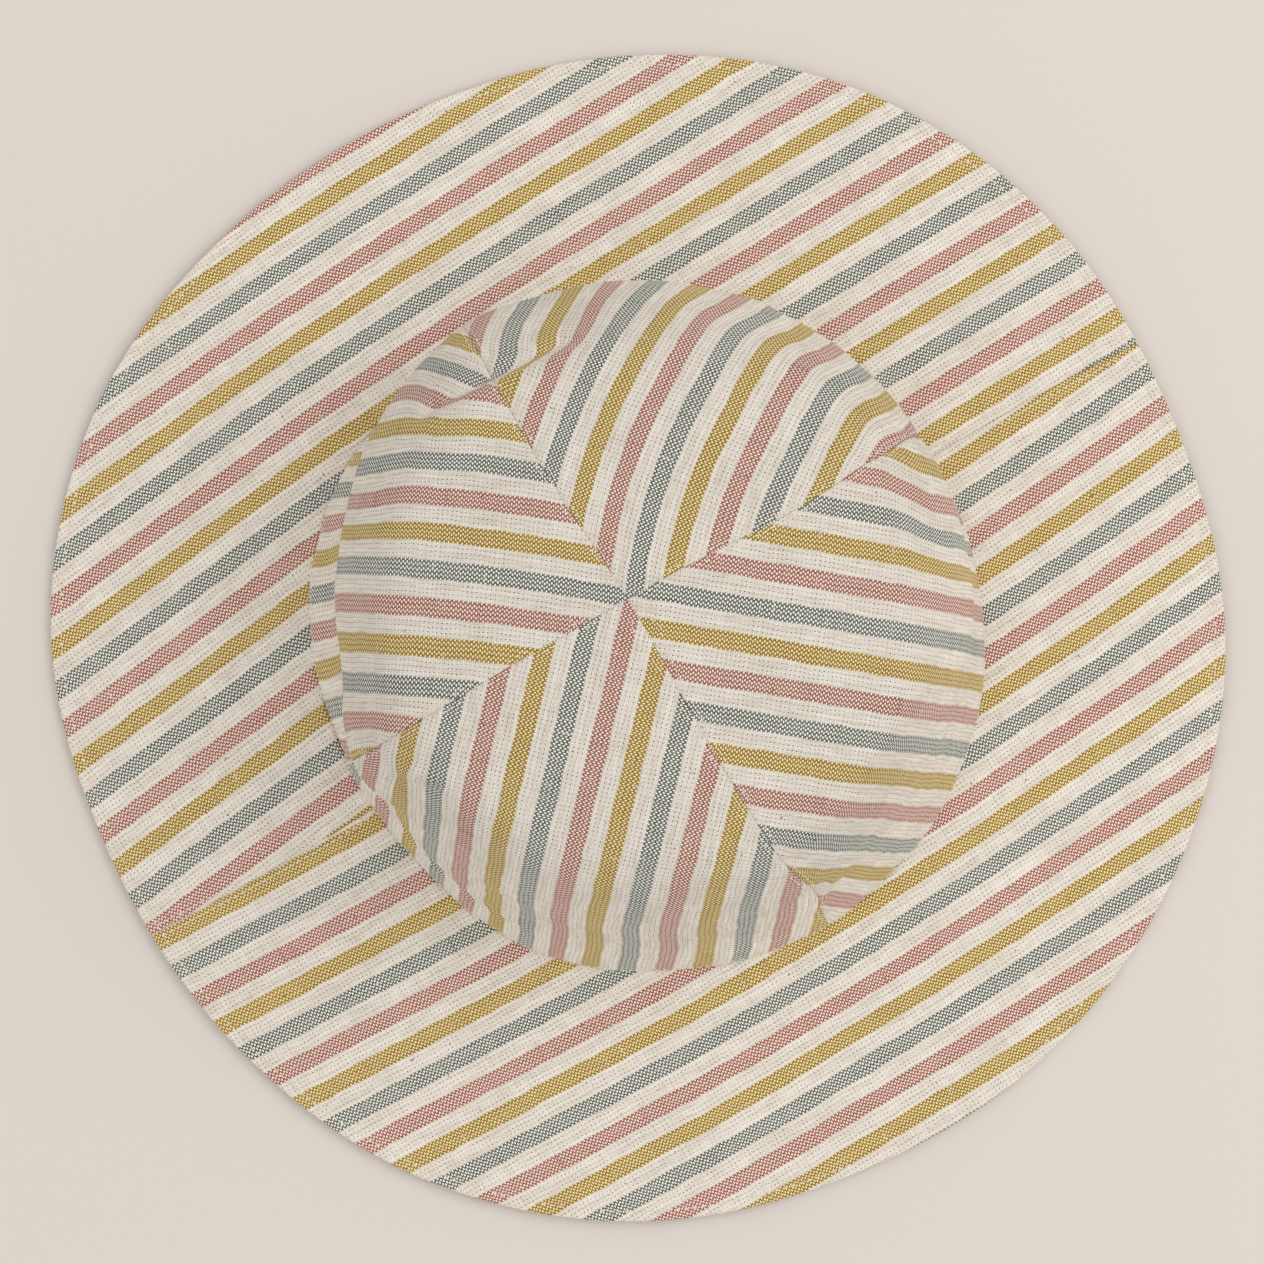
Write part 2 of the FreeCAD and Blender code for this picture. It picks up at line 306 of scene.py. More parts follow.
# Creases at the crown's corners: start and end, half width, how much the cloth
# gathers towards the line, how far it sinks there, and how far down it reaches.
CREASES = [
    (-49.0, 49.6, -33.0, 57.8, 2.2, 0.66, 1.8, 0.72),
    (-33.0, 57.8, -14.0, 67.0, 2.2, 0.58, 1.6, 0.72),
    (50.3, -54.5, 42.4, -66.5, 2.0, 0.40, 1.4, 0.93),
    (-59.0, -31.4, -44.5, -34.4, 1.8, 0.55, 1.2, 0.80),
    (-64.5, -14.5, -60.0, -23.0, 2.0, 0.35, 0.9, 0.80),
    (55.0, 38.5, 62.0, 46.5, 2.6, 0.40, 1.0, 0.80),
]
# Points where the cloth gathers: place, spread, how much, and how far down.
GATHERS = [
    (-33.0, 57.8, 4.0, 0.40, 0.72),
    (-53.8, -32.0, 3.6, 0.55, 0.80),
    (46.0, -60.5, 3.4, 0.35, 0.93),
]


def creased(points, t):
    """Points of the crown with the creases pressed in."""
    points = points.copy()
    for x0, y0, x1, y1, half, pull, sink, low in CREASES:
        way = np.array([x1 - x0, y1 - y0])
        reach = float(np.hypot(*way))
        way = way / reach
        aside = np.array([-way[1], way[0]])
        rel = points[..., :2] - (x0, y0)
        s, w = rel @ way, rel @ aside
        fade = smooth(s, -half, half) * (1 - smooth(s, reach - half, reach + half))
        fade = fade * (1 - smooth(t, low - 0.12, low))
        g = np.exp(-((w / half) ** 2)) * fade
        points[..., :2] -= (pull * w * g)[..., None] * aside
        points[..., 2] -= sink * g
    for x, y, spread, pull, low in GATHERS:
        rel = points[..., :2] - (x, y)
        g = np.exp(-(rel**2).sum(-1) / spread**2) * (1 - smooth(t, low - 0.12, low))
        points[..., :2] -= (pull * g)[..., None] * rel
    return points


# ---- the cloth's own coordinates --------------------------------------------

PITCH = 8.6  # from one coloured stripe to the next, on the flat cloth

# For each crown panel: the stripes' direction in degrees, how fast the place
# across them grows with u (across) and v (along), its value at the apex, and
# how much it bows with v*v, u*v and u*u, in mm for each 100 square mm.
CROWN_CLOTH = {
    "back_right": (70.0, 1.079, -0.259, 9.84, 0.449, -0.104, 0.128),
    "back_left": (175.0, 1.061, 0.116, 8.72, -0.125, -0.113, -0.175),
    "front_left": (257.0, 1.021, 0.008, 15.92, 0.0, 0.0, 0.0),
    "front_right": (-8.0, 1.029, 0.025, 5.77, 0.0, 0.0, 0.0),
}
# The same for each half of the brim, about the hat's middle.
BRIM_CLOTH = {
    "back": (31.6, 0.974, 0.0452, -24.4, -0.0138, 0.0175, 0.0),
    "front": (31.6, 0.976, 0.0024, -6.7, 0.0221, 0.0014, 0.0),
}
BOLT = 1000.0  # the brim is cut from this much further along the cloth
PINCH = (-32.0, 58.0)  # where the creases at the back seam's corner meet
TUCK = (46.5, -60.5)  # where the cloth folds at the front seam's corner


def over_line(dx, dy, degrees, soft):
    """0 on one side of a line through the origin, 1 on the other."""
    line = math.radians(degrees)
    return smooth(dy * math.cos(line) - dx * math.sin(line), -soft, soft)


def slipped(name, x, y, t):
    """How far a crown panel's cloth has slipped across its stripes, in mm."""
    high = 1 - smooth(t, 0.62, 0.80)
    dx, dy = x - PINCH[0], y - PINCH[1]
    far = np.hypot(dx, dy)
    soft = 0.7 + 0.006 * far**2
    if name == "back_left":
        # The corner's ear is turned over, and the cloth round it has slipped.
        up = over_line(dx, dy, 27.0, soft)
        slip = up * (-4.8 - 0.31 * dx + 0.115 * dy) * (1 - smooth(far, 16, 30))
        near = np.exp(-(((y - 48) / 14) ** 2))
        slip += 1.3 * (1 - up) * near * smooth(x, -46, -34)
        slip -= 2.4 * smooth(-x, 50, 66) * smooth(y, 15, 35)
        slip += 2.0 * np.exp(-((x + 60) ** 2 + (y + 27) ** 2) / 81)
        # The shoulder hangs over the wall, where the cloth lies further on.
        return slip * high - 3.4 * smooth(t, 0.64, 0.80) - 3.2 * smooth(t, 0.78, 1.0)
    if name == "back_right":
        up = over_line(dx, dy, 26.0, soft)
        slip = up * (1.3 + 3.2 * np.exp(-(((y - 62) / 6.5) ** 2)))
        slip = slip * high * (1 - smooth(x, -16, -4))
        # At the right the stripes turn over the shoulder.
        turn = 1.8 * smooth(t, 0.52, 0.66)
        turn -= 1.2 * smooth(t, 0.34, 0.51) * (1 - smooth(t, 0.51, 0.62))
        return slip + turn * smooth(x, -5, 28)
    if name == "front_left":
        # The wall's cloth has slipped, and jumps at the groove above the base.
        hang = (1.6 + 2.0 * smooth(x, -20, 25)) * smooth(x, -48, -22)
        ledge = 2.5 * smooth(t, 0.925, 0.945) * smooth(-x, 18, 45)
        return -hang * smooth(t, 0.60, 0.95) - ledge
    # At the right the stripes bend over the shoulder, and the corner is folded.
    bend = 3.4 * smooth(y, 3, 34)
    past = over_line(TUCK[0] - x, TUCK[1] - y, 57.7, 0.7)
    fold = past * np.exp(-((np.hypot(x - TUCK[0], y - TUCK[1]) / 14) ** 2))
    return bend * smooth(t, 0.47, 0.60) - 1.6 * fold


def across_stripes(row, u, v):
    """Place across the stripes, from a row of numbers as above."""
    a, b, start, vv, uv, uu = row[1:]
    return a * u + b * v + start + (vv * v * v + uv * u * v + uu * u * u) / 100


def crown_cloth(name, point, t, length):
    """Place on the flat cloth of points (rows, columns) of a crown panel."""
    row = CROWN_CLOTH[name]
    d = math.radians(row[0])
    x, y = point[..., 0] - APEX[0], point[..., 1] - APEX[1]
    u = -x * math.sin(d) + y * math.cos(d)
    across = across_stripes(row, u, x * math.cos(d) + y * math.sin(d))
    across = across + slipped(name, point[..., 0], point[..., 1], t[:, None])
    # Over the top the place along the stripes grows with the distance along
    # them, and down the wall with the whole length.
    shoulder = int(np.argmin(np.abs(t - 0.60)))
    w = smooth(t, 0.45, 0.75)[:, None]
    bend = np.cumsum(w * np.diff(length, axis=0, prepend=0), axis=0)
    polar = wrapped(np.arctan2(y, x) - d)
    cos = np.cos(np.where(t[:, None] < 0.6, polar, polar[shoulder]))
    return np.stack([across, length * cos + (1 - cos) * bend], -1)


def brim_cloth(name, phi, length):
    """Place on the flat cloth of points of a brim half."""
    row = BRIM_CLOTH[name]
    d = math.radians(row[0])
    r = around(BASE_R, phi) + length
    u, v = -r * np.sin(phi - d), r * np.cos(phi - d)
    return np.stack([across_stripes(row, u, v), v * row[1] + BOLT], -1)


# ---- building meshes --------------------------------------------------------

WEAVE_UNIT = 0.01  # of the weave's UV layer, for each millimetre of flat cloth


def grid_faces(rows, columns, flip=False):
    i = np.arange(rows - 1)[:, None] * columns + np.arange(columns - 1)[None]
    i = i.ravel()
    quads = np.stack([i, i + columns, i + columns + 1, i + 1], -1)
    return quads[:, ::-1] if flip else quads


def new_piece(name, points, faces, material, node, uv=None, layer="Weave", unit=WEAVE_UNIT):
    """A mesh piece in the model's frame that stands for a CAD node.

    uv has two values for each point, such as its place on the flat cloth.
    """
    mesh = bpy.data.meshes.new(name)
    mesh.from_pydata(place(points.reshape(-1, 3)).tolist(), [], faces)
    mesh.polygons.foreach_set("use_smooth", [True] * len(mesh.polygons))
    if uv is not None:
        corner = np.empty(len(mesh.loops), int)
        mesh.loops.foreach_get("vertex_index", corner)
        made = mesh.uv_layers.new(name=layer)
        made.data.foreach_set("uv", (uv.reshape(-1, 2)[corner] * unit).ravel())
    mesh.validate()
    mesh.materials.append(material)
    piece = bpy.data.objects.new(name, mesh)
    bpy.context.scene.collection.objects.link(piece)
    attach(piece, "root")
    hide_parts(node)
    return piece


def cloth_piece(name, points, thick, material, node, uv=None, flip=False):
    """A piece of cloth from a grid of points (rows, columns, 3), with a thickness."""
    faces = grid_faces(*points.shape[:2], flip).tolist()
    piece = new_piece(name, points, faces, material, node, uv)
    made = piece.modifiers.new("Cloth thickness", "SOLIDIFY")
    made.thickness = thick * MM
    made.offset = -1
    return piece


CLOSE = [0.0, 0.3, 0.7, 1.2, 1.8, 2.6, 3.6, 4.8]  # rows near a seam, in mm from it


def spread_end(width, step):
    """Shares from 0 to 1, close together at the far end of a width."""
    high = [1 - e / width for e in reversed(CLOSE)]
    return np.array(list(np.linspace(0, high[0], int(width / step)))[:-1] + high)


def spread(width, step):
    """Shares from 0 to 1, close together at both ends of a width."""
    low = [e / width for e in CLOSE]
    high = [1 - e / width for e in reversed(CLOSE)]
    inner = np.linspace(low[-1], high[0], int(width / step))[1:-1]
    return np.array(low + list(inner) + high)


# ---- materials --------------------------------------------------------------


class Maker:
    """Short ways to write a procedural material."""

    def __init__(self, name, roughness, sheen=0.0, sheen_roughness=0.5):
        self.material = bpy.data.materials.new(name)
        self.material.use_nodes = True
        self.tree = self.material.node_tree
        self.shader = self.tree.nodes["Principled BSDF"]
        self.shader.inputs["Roughness"].default_value = roughness
        self.shader.inputs["Sheen Weight"].default_value = sheen
        self.shader.inputs["Sheen Roughness"].default_value = sheen_roughness
        self.shader.inputs["Specular IOR Level"].default_value = 0.25

    def node(self, kind, **settings):
        made = self.tree.nodes.new(kind)
        for key, value in settings.items():
            setattr(made, key, value)
        return made

    def feed(self, socket, value):
        if isinstance(value, bpy.types.NodeSocket):
            self.tree.links.new(value, socket)
        else:
            socket.default_value = value

    def maths(self, operation, *values):
        made = self.node("ShaderNodeMath", operation=operation)
        for socket, value in zip(made.inputs, values):
            self.feed(socket, value)
        return made.outputs[0]

    def plus(self, first, second):
        return self.maths("ADD", first, second)

    def less(self, first, second):
        return self.maths("SUBTRACT", first, second)

    def times(self, first, second):
        return self.maths("MULTIPLY", first, second)

    def ramp(self, value, low, high, start=0.0, end=1.0):
        made = self.node("ShaderNodeMapRange", interpolation_type="SMOOTHSTEP")
        for socket, given in zip(made.inputs, (value, low, high, start, end)):
            self.feed(socket, given)
        return made.outputs[0]

    def mix(self, share, first, second, blend="MIX"):
        made = self.node("ShaderNodeMix", data_type="RGBA", blend_type=blend)
        # The share is input 0, and the two colours are inputs 6 and 7.
        for index, value in ((0, share), (6, first), (7, second)):
            self.feed(made.inputs[index], value)
        return made.outputs[2]

    def noise(self, vector, scale, detail=2.0, roughness=0.5):
        made = self.node("ShaderNodeTexNoise")
        self.feed(made.inputs["Vector"], vector)
        self.feed(made.inputs["Scale"], scale)
        self.feed(made.inputs["Detail"], detail)
        self.feed(made.inputs["Roughness"], roughness)
        return made.outputs["Fac"]

    def joined(self, x, y, z=0.0):
        made = self.node("ShaderNodeCombineXYZ")
        for socket, value in zip(made.inputs, (x, y, z)):
            self.feed(socket, value)
        return made.outputs[0]

    def layer(self, name):
        """The two values of a UV layer."""
        split = self.node("ShaderNodeSeparateXYZ")
        self.feed(split.inputs[0], self.node("ShaderNodeUVMap", uv_map=name).outputs[0])
        return split.outputs[0], split.outputs[1]

    def weave_place(self):
        """Place on the flat cloth, in millimetres: across and along."""
        u, v = self.layer("Weave")
        return self.times(u, 1 / WEAVE_UNIT), self.times(v, 1 / WEAVE_UNIT)

    def object_place(self):
        return self.node("ShaderNodeTexCoord").outputs["Object"]

    def bump(self, height, distance, strength):
        made = self.node("ShaderNodeBump")
        self.feed(made.inputs["Strength"], strength)
        self.feed(made.inputs["Distance"], distance * MM)
        self.feed(made.inputs["Height"], height)
        self.tree.links.new(made.outputs[0], self.shader.inputs["Normal"])

    def colour(self, value):
        self.tree.links.new(value, self.shader.inputs["Base Color"])

    def woven(self, u, v, end, pick):
        """Plain weave of threads that lie end and pick millimetres apart.

        Gives the threads' numbers, which of the two is on top (above 0 or
        below), and how near the middle of each thread a point is.
        """
        x = self.maths("DIVIDE", u, end)
        y = self.maths("DIVIDE", v, pick)
        across = self.maths("SINE", self.times(x, math.pi))
        down = self.maths("SINE", self.times(y, math.pi))
        round_x = self.maths("ABSOLUTE", across)
        wide = self.times(self.maths("POWER", round_x, 0.55), self.maths("SIGN", across))
        return x, y, self.times(wide, down), round_x, self.maths("ABSOLUTE", down)


def rgb(r, g, b):
    """An sRGB colour as linear light."""

    def one(c):
        return c / 12.92 if c <= 0.04045 else ((c + 0.055) / 1.055) ** 2.4

    return (one(r), one(g), one(b), 1.0)


CREAM = rgb(0.975, 0.945, 0.90)
CREAM_SHADE = rgb(0.86, 0.82, 0.76)
OCHRE = rgb(0.64, 0.455, 0.03)
GREY = rgb(0.315, 0.34, 0.285)
ROSE = rgb(0.67, 0.32, 0.245)
# The weft's colour where it crosses each of them, lighter than the cream stripes' weft as a
# painted highlight.
OCHRE_WEFT_LIT = rgb(1.0, 0.95, 0.71)
GREY_WEFT_LIT = rgb(1.0, 1.0, 0.965)
ROSE_WEFT_LIT = rgb(1.0, 0.95, 0.90)
# Painted shade for the crown's cloth.
CROWN_SHADE = rgb(0.95, 0.953, 0.955)
DARK = rgb(0.30, 0.25, 0.19)
SEED = rgb(0.42, 0.31, 0.2)

END = PITCH / 16  # warp thread spacing
PICK = 0.53  # weft thread spacing


def striped_cotton():
    make = Maker("Striped cotton", 0.88, sheen=0.08, sheen_roughness=0.45)
    u, v = make.weave_place()
    flat = make.joined(u, v)
    # Threads wander a little as they lie.
    wander = make.less(make.noise(flat, 0.16), 0.5)
    u = make.plus(u, make.times(wander, 0.9))
    drift = make.less(make.noise(make.joined(v, u, 7.0), 0.12), 0.5)
    v = make.plus(v, make.times(drift, 0.8))
    x, y, over, round_x, round_y = make.woven(u, v, END, PICK)
    number = make.maths("FLOOR", x)
    pick_number = make.maths("FLOOR", y)
    # Eight coloured ends, then eight cream ones, in three colours by turns.
    shifted = make.plus(number, 4.0)
    coloured = make.maths("LESS_THAN", make.maths("FLOORED_MODULO", shifted, 16.0), 7.5)
    stripe = make.maths("FLOOR", make.maths("DIVIDE", make.plus(shifted, 0.5), 16.0))
    which = make.maths("FLOORED_MODULO", stripe, 3.0)
    grey = make.maths("GREATER_THAN", which, 0.5)
    rose = make.maths("GREATER_THAN", which, 1.5)
    dye = make.mix(rose, make.mix(grey, OCHRE, GREY), ROSE)
    # The weft's floats on the coloured stripes are its own cream with a painted highlight.
    lit_weft = make.mix(rose, make.mix(grey, OCHRE_WEFT_LIT, GREY_WEFT_LIT), ROSE_WEFT_LIT)
    # Each thread has its own tint, and changes slowly along its length.
    own = make.joined(make.times(number, 3.7), make.times(v, 0.07))
    own = make.noise(own, 1.0, 3.0, 0.6)
    pick_own = make.joined(make.times(u, 0.07), make.times(pick_number, 3.3), 4.0)
    pick_own = make.noise(pick_own, 1.0, 3.0, 0.6)
    # Every crossing is a little different.
    fine = make.noise(make.joined(u, v, 3.0), 1.6, 1.0, 0.6)
    worn = make.ramp(make.plus(own, make.times(fine, 0.5)), 0.5, 0.98)
    dye = make.mix(worn, make.mix(0.25, dye, DARK), make.mix(0.12, dye, lit_weft))
    cream = make.mix(make.ramp(own, 0.32, 0.68), CREAM_SHADE, CREAM)
    pale = make.mix(make.ramp(pick_own, 0.32, 0.68), CREAM_SHADE, CREAM)
    warp = make.mix(coloured, cream, dye)
    weft = make.mix(coloured, pale, make.mix(make.ramp(pick_own, 0.05, 0.5), dye, lit_weft))
    high = make.plus(over, make.times(fine, 0.35))
    colour = make.mix(make.ramp(high, -0.37, -0.10, 1.0, 0.0), warp, weft)
    # Painted shade: the hollows between threads are darker.
    hollow = make.times(round_x, round_y)
    shade_depth = make.plus(0.36, make.times(coloured, 0.42))
    hollow_shade = make.times(make.ramp(hollow, 0.0, 0.5, 1.0, 0.0), shade_depth)
    colour = make.mix(hollow_shade, colour, make.mix(0.5, DARK, warp))
    # The ends lie in pairs. Between coloured pairs the weft shows.
    pair = make.maths("PINGPONG", make.times(x, 0.5), 0.5)
    between = make.ramp(pair, 0.05, 0.17, 1.0, 0.0)
    line = make.times(make.times(between, make.ramp(round_y, 0.25, 0.7)), coloured)
    colour = make.mix(make.times(line, 0.55), colour, lit_weft)
    # Between cream pairs there are small holes, at every other pick, painted dark as shade.
    every_other = make.maths("ABSOLUTE", make.maths("SINE", make.times(y, math.pi / 2)))
    hole_shade = make.times(between, make.ramp(every_other, 0.30, 0.72, 1.0, 0.0))
    hole_shade = make.times(hole_shade, make.less(1.0, coloured))
    hole_shade = make.times(hole_shade, make.ramp(make.noise(flat, 0.30), 0.34, 0.60, 0.35, 1.0))
    colour = make.mix(make.times(hole_shade, 0.9), colour, DARK)
    # Slubs and dark flecks of seed.
    slub = make.noise(make.joined(make.times(u, 0.16), make.times(v, 1.4), 2.0), 1.0, 1.0)
    colour = make.mix(make.ramp(slub, 0.70, 0.78, 0.0, 0.4), colour, CREAM)
    fleck = make.noise(make.joined(make.times(u, 0.9), make.times(v, 0.9), 9.0), 1.0, 0.0)
    colour = make.mix(make.ramp(fleck, 0.835, 0.865, 0.0, 0.75), colour, SEED)
    # Painted shade: the crown's top hangs free, so its cloth is made a little darker than cloth
    # that lies on more cloth.
    colour = make.mix(make.ramp(v, 60.0, 100.0, 1.0, 0.0), colour, CROWN_SHADE, "MULTIPLY")
    make.colour(colour)
    height = make.less(make.times(hollow, 0.8), make.times(between, 0.35))
    make.bump(make.plus(height, make.times(own, 0.5)), 0.10, 0.5)
    return make.material


def plain_cotton(name, light, shade, gauge, ribbed=False):
    """Undyed cotton, in plain weave or in slanting ribs like a twill's."""
    make = Maker(name, 0.9, sheen=0.1)
    u, v = make.weave_place()
    if ribbed:
        u = make.plus(u, v)
    x, _, _, round_x, round_y = make.woven(u, v, gauge, gauge)
    own = make.joined(make.times(make.maths("FLOOR", x), 3.7), make.times(v, 0.1))
    own = make.noise(own, 1.0, 3.0, 0.6)
    hollow = make.times(round_x, 1.0 if ribbed else round_y)
    share = make.plus(own, make.times(hollow, 0.35))
    # Each thread has its own tint between shade and light, and the hollows between threads are
    # painted darker as shade.
    make.colour(make.mix(make.ramp(share, 0.3, 0.95), shade, light))
    make.bump(make.plus(hollow, make.times(own, 0.5)), 0.09, 0.6)
    return make.material


def felted(name, colour, shade):
    make = Maker(name, 0.95)
    fibre = make.noise(make.object_place(), 1800.0, 4.0, 0.7)
    make.colour(make.mix(make.ramp(fibre, 0.3, 0.7), shade, colour))
    make.bump(fibre, 0.08, 0.5)
    return make.material


def sewing_thread():
    make = Maker("Sewing thread", 0.6, sheen=0.1)
    twist = make.noise(make.object_place(), 2600.0, 2.0, 0.6)
    pale, light = rgb(0.88, 0.83, 0.74), rgb(0.95, 0.92, 0.86)
    cotton = make.mix(make.ramp(twist, 0.3, 0.7), pale, light)
    # The ends go down through the needle holes, into shadow.
    to_end = make.layer("Stitch")[0]
    make.colour(make.mix(make.ramp(to_end, 0.50, 0.78), cotton, DARK))
    make.bump(twist, 0.05, 0.5)
    return make.material


striped = striped_cotton()
lining_cloth = plain_cotton("Lining cotton", rgb(0.93, 0.905, 0.855), rgb(0.83, 0.795, 0.73), 0.42)
band_cloth = plain_cotton(
    "Sweatband twill", rgb(0.93, 0.90, 0.84), rgb(0.78, 0.735, 0.66), 0.7, ribbed=True
)
stiffener = felted("Interlining", rgb(0.93, 0.93, 0.92), rgb(0.84, 0.84, 0.82))
thread = sewing_thread()


# ---- the crown --------------------------------------------------------------

CROWN_LENGTH = float(crown.length[-1].mean())
START = 0.0006  # share of the way down where the cloth starts, beside the apex


def from_middle(point):
    """Distance from the crown's middle line, seen from above."""
    return np.hypot(point[..., 0] - LEAN[0] * 0.5, point[..., 1] - LEAN[1] * 0.5)


def pressed_seam(gap, width):
    """Height of the cloth beside a seam, over a seam allowance of that width."""
    h = -0.20 * np.exp(-gap / 0.30)
    return h + 0.10 * smooth(gap, 0.1, 1.0) * (1 - smooth(gap, width, width + 2.0))


def crown_relief(point, t, length, whole, gap):
    """How far the cloth stands out of the smooth surface, in millimetres.

    gap is the distance to the nearest side seam, along the surface.
    """
    left = whole - length
    azimuth = np.arctan2(point[..., 1], point[..., 0])
    h = pressed_seam(gap, 4.5)
    pucker = np.sin(FULL * length / 6.3 + 1.5 * ripple(point, 30, 11))
    h += 0.16 * pucker * np.exp(-((gap / 3.5) ** 2)) * smooth(gap, 0.0, 1.0)
    h += -0.15 * np.exp(-left / 0.6)
    h += 0.20 * smooth(left, 0.5, 1.6) * (1 - smooth(left, 6.0, 8.0))
    # A shallow groove runs above the base at the lower left and upper right.
    groove = bump(swing(azimuth, 226), 0.7) + bump(swing(azimuth, 48), 0.35)
    h += -0.6 * groove * np.exp(-(((t - 0.935) / 0.016) ** 2))
    # The cloth is uneven, and more so on the wall than on the top.
    soft = 0.35 + 0.65 * smooth(t, 0.35, 0.6)
    h += soft * (0.75 * ripple(point, 46, 21) + 0.40 * ripple(point, 21, 22))
    h += 0.10 * ripple(point, 9, 23)
    # Short upright creases hang below the shoulder.
    hang = smooth(t, 0.50, 0.66) * (1 - smooth(t, 0.90, 1.0))
    h += 0.08 * hang * np.sin(azimuth * 23 + 3.0 * ripple(point, 60, 24))
    return h


def crown_surface(name, shares, t):
    """Azimuths, points, normals, lengths, seam gaps and relief of a crown panel."""
    phi, point, normal, length, away = sector(crown, CROWN_SEAMS, PANELS[name], shares, t)
    gap = away * np.minimum(from_middle(point), length)
    h = crown_relief(point, t[:, None], length, crown.whole(phi[-1]), gap)
    return phi, point, normal, length, gap, h


def make_panel(name):
    t = spread_end(CROWN_LENGTH, 1.2)
    t[0] = START
    _, point, normal, length, _, h = crown_surface(name, spread(125.0, 1.25), t)
    made = creased(point + normal * h[..., None], t[:, None])
    uv = crown_cloth(name, point, t, length)
    # The lower edge turns in under the brim.
    tuck = made[-1] - 0.3 * normal[-1] - (0, 0, 0.7)
    made = np.concatenate([made, tuck[None]])
    uv = np.concatenate([uv, uv[-1:] + (0, 0.8)])
    piece, node = "crown_cloth_" + name, "crown_panel_" + name
    return cloth_piece(piece, made, 0.8, striped, node, uv)


def make_lining(name):
    shares = spread(125.0, 2.6)
    t = np.concatenate([[START, 0.004], np.linspace(0.012, 0.985, 55)])
    _, point, normal, length, gap, _ = crown_surface(name, shares, t)
    slack = 2.3 + 0.5 * ripple(point, 26, 31) + 0.35 * ripple(point, 11, 32)
    slack = slack + 0.6 * np.exp(-gap / 0.8) - 0.3 * smooth(gap, 1, 3)
    # It hangs clear of the creased corners.
    for x, y, *_ in GATHERS:
        near = np.hypot(point[..., 0] - x, point[..., 1] - y)
        slack = slack + 2.2 * np.exp(-((near / 13) ** 2)) * smooth(t, 0.3, 0.45)[:, None]
    made = creased(point - normal * slack[..., None], t[:, None])
    uv = np.stack([gap * np.sign(shares - 0.5)[None], length], -1)
    piece, node = "lining_cloth_" + name, "lining_panel_" + name
    return cloth_piece(piece, made, 0.5, lining_cloth, node, uv, flip=True)


panels = {name: make_panel(name) for name in PANELS}
linings = {name: make_lining(name) for name in PANELS}


# ---- the sweatband ----------------------------------------------------------

BAND_HEIGHT = 25.0
BAND_FOLD = 0.6  # radius of the fold at its top
BAND_IN = 4.1  # from the crown's smooth surface to its inner side
BAND_R = 81.0  # radius at which the band's cloth is measured


def make_band():
    """A folded cotton tape that stands inside the base of the crown."""
    count = 480
    phi = np.arange(count + 1) / count * FULL + math.radians(122)
    level = np.zeros(26)
    bend = np.radians(np.linspace(15, 165, 6))
    rise = BAND_HEIGHT + BAND_FOLD * np.sin(bend)
    up = np.linspace(0, BAND_HEIGHT, 26)
    up = np.concatenate([up, rise, np.linspace(BAND_HEIGHT, 0, 26)])[:, None]
    out = BAND_FOLD - BAND_FOLD * np.cos(bend)
    out = np.concatenate([level, out, level + 2 * BAND_FOLD])[:, None]
    rows = len(up)
    whole = crown.whole(phi)[None]
    length = whole - up + 2.0 * bump(up, 3.0)
    ph = np.repeat(phi[None], rows, 0)
    point, normal, _ = crown.at(ph, np.clip(length / whole, 0, 1))
    inward = BAND_IN - out + 0.30 * ripple(point, 24, 41)
    inward = inward + 0.25 * ripple(point, 9, 42)
    made = point - normal * inward[..., None]
    made[..., 2] -= np.maximum(length - whole, 0)
    uv = np.stack([ph * BAND_R, np.repeat(up + out, count + 1, 1)], -1)
    # The two lower edges are joined.
    ring = np.arange(count)
    last = (rows - 1) * (count + 1) + ring
    bottom = np.stack([last, last + 1, ring + 1, ring], -1)
    faces = np.vstack([grid_faces(rows, count + 1), bottom]).tolist()
    return new_piece(
        "sweatband_tape", made, faces, band_cloth, "sweatband", uv
    )


band = make_band()


# ---- the brim ---------------------------------------------------------------

THICK = 2.1  # top cloth, interlining and under cloth together
BRIM_WIDTH = 62.5
BRIM_ARC = 360.0  # length round a half, near enough for the spacing of its columns
EDGE_ROW = 2.1  # from the brim's edge to its row of stitches


def brim_relief(point, length, whole, gap):
    """As crown_relief, for the brim's upper side."""
    left = whole - length
    h = pressed_seam(gap, 7.0)
    h += -0.10 * np.exp(-length / 0.6)
    h += -0.22 * np.exp(-(((left - EDGE_ROW) / 0.7) ** 2))
    calm = smooth(left, 0.0, 6.0)
    h += calm * (0.45 * ripple(point, 52, 51) + 0.22 * ripple(point, 23, 52))
    h += 0.06 * ripple(point, 9, 53)
    pucker = ripple(point, 5.5, 54)
    h += 0.10 * pucker * bump(left - 2.4, 4.0)
    h += 0.14 * pucker * bump(gap - 2.0, 5.0)
    return h


def brim_surface(name, shares, t):
    """Azimuths, points, normals, lengths, seam gaps and relief of a brim half."""
    phi, point, normal, length, away = sector(brim, BRIM_SEAMS, HALVES[name], shares, t)
    gap = away * np.hypot(point[..., 0], point[..., 1])
    h = brim_relief(point, length, brim.whole(phi[-1]), gap)
    return phi, point, normal, length, gap, h


# The edge rolls over: outward and downward, in millimetres, for each cloth,
# and how much further along the cloth each of those rows lies.
ROLL_TOP = [(0.30, 0.10), (0.55, 0.35), (0.66, 0.75), (0.66, 1.02)]
ROLL_UNDER = [(0.30, THICK - 0.10), (0.55, THICK - 0.35), (0.66, THICK - 0.75)]
ROLL_CLOTH = [0.3, 0.65, 1.05, 1.3]
# The underside's seam allowance: inward and downward, in millimetres.
ALLOWANCE = [(3.2, 0.5), (1.6, 0.2)]


def rolled(point, normal, lift, roll):
    """Extra rows that turn the edge over."""
    out = point[-1] - point[-2]
    out /= np.linalg.norm(out, axis=-1, keepdims=True)
    return np.stack([point[-1] + out * a - normal[-1] * (b - lift) for a, b in roll])


def brim_rows(name, phi, length, before, after):
    """Place on the flat cloth of a brim half with extra rows before and after."""
    first = [brim_cloth(name, phi[0], length[0] - s) for s in before]
    more = [brim_cloth(name, phi[-1], length[-1] + s) for s in after]
    return np.concatenate([np.stack(first), brim_cloth(name, phi, length), np.stack(more)])


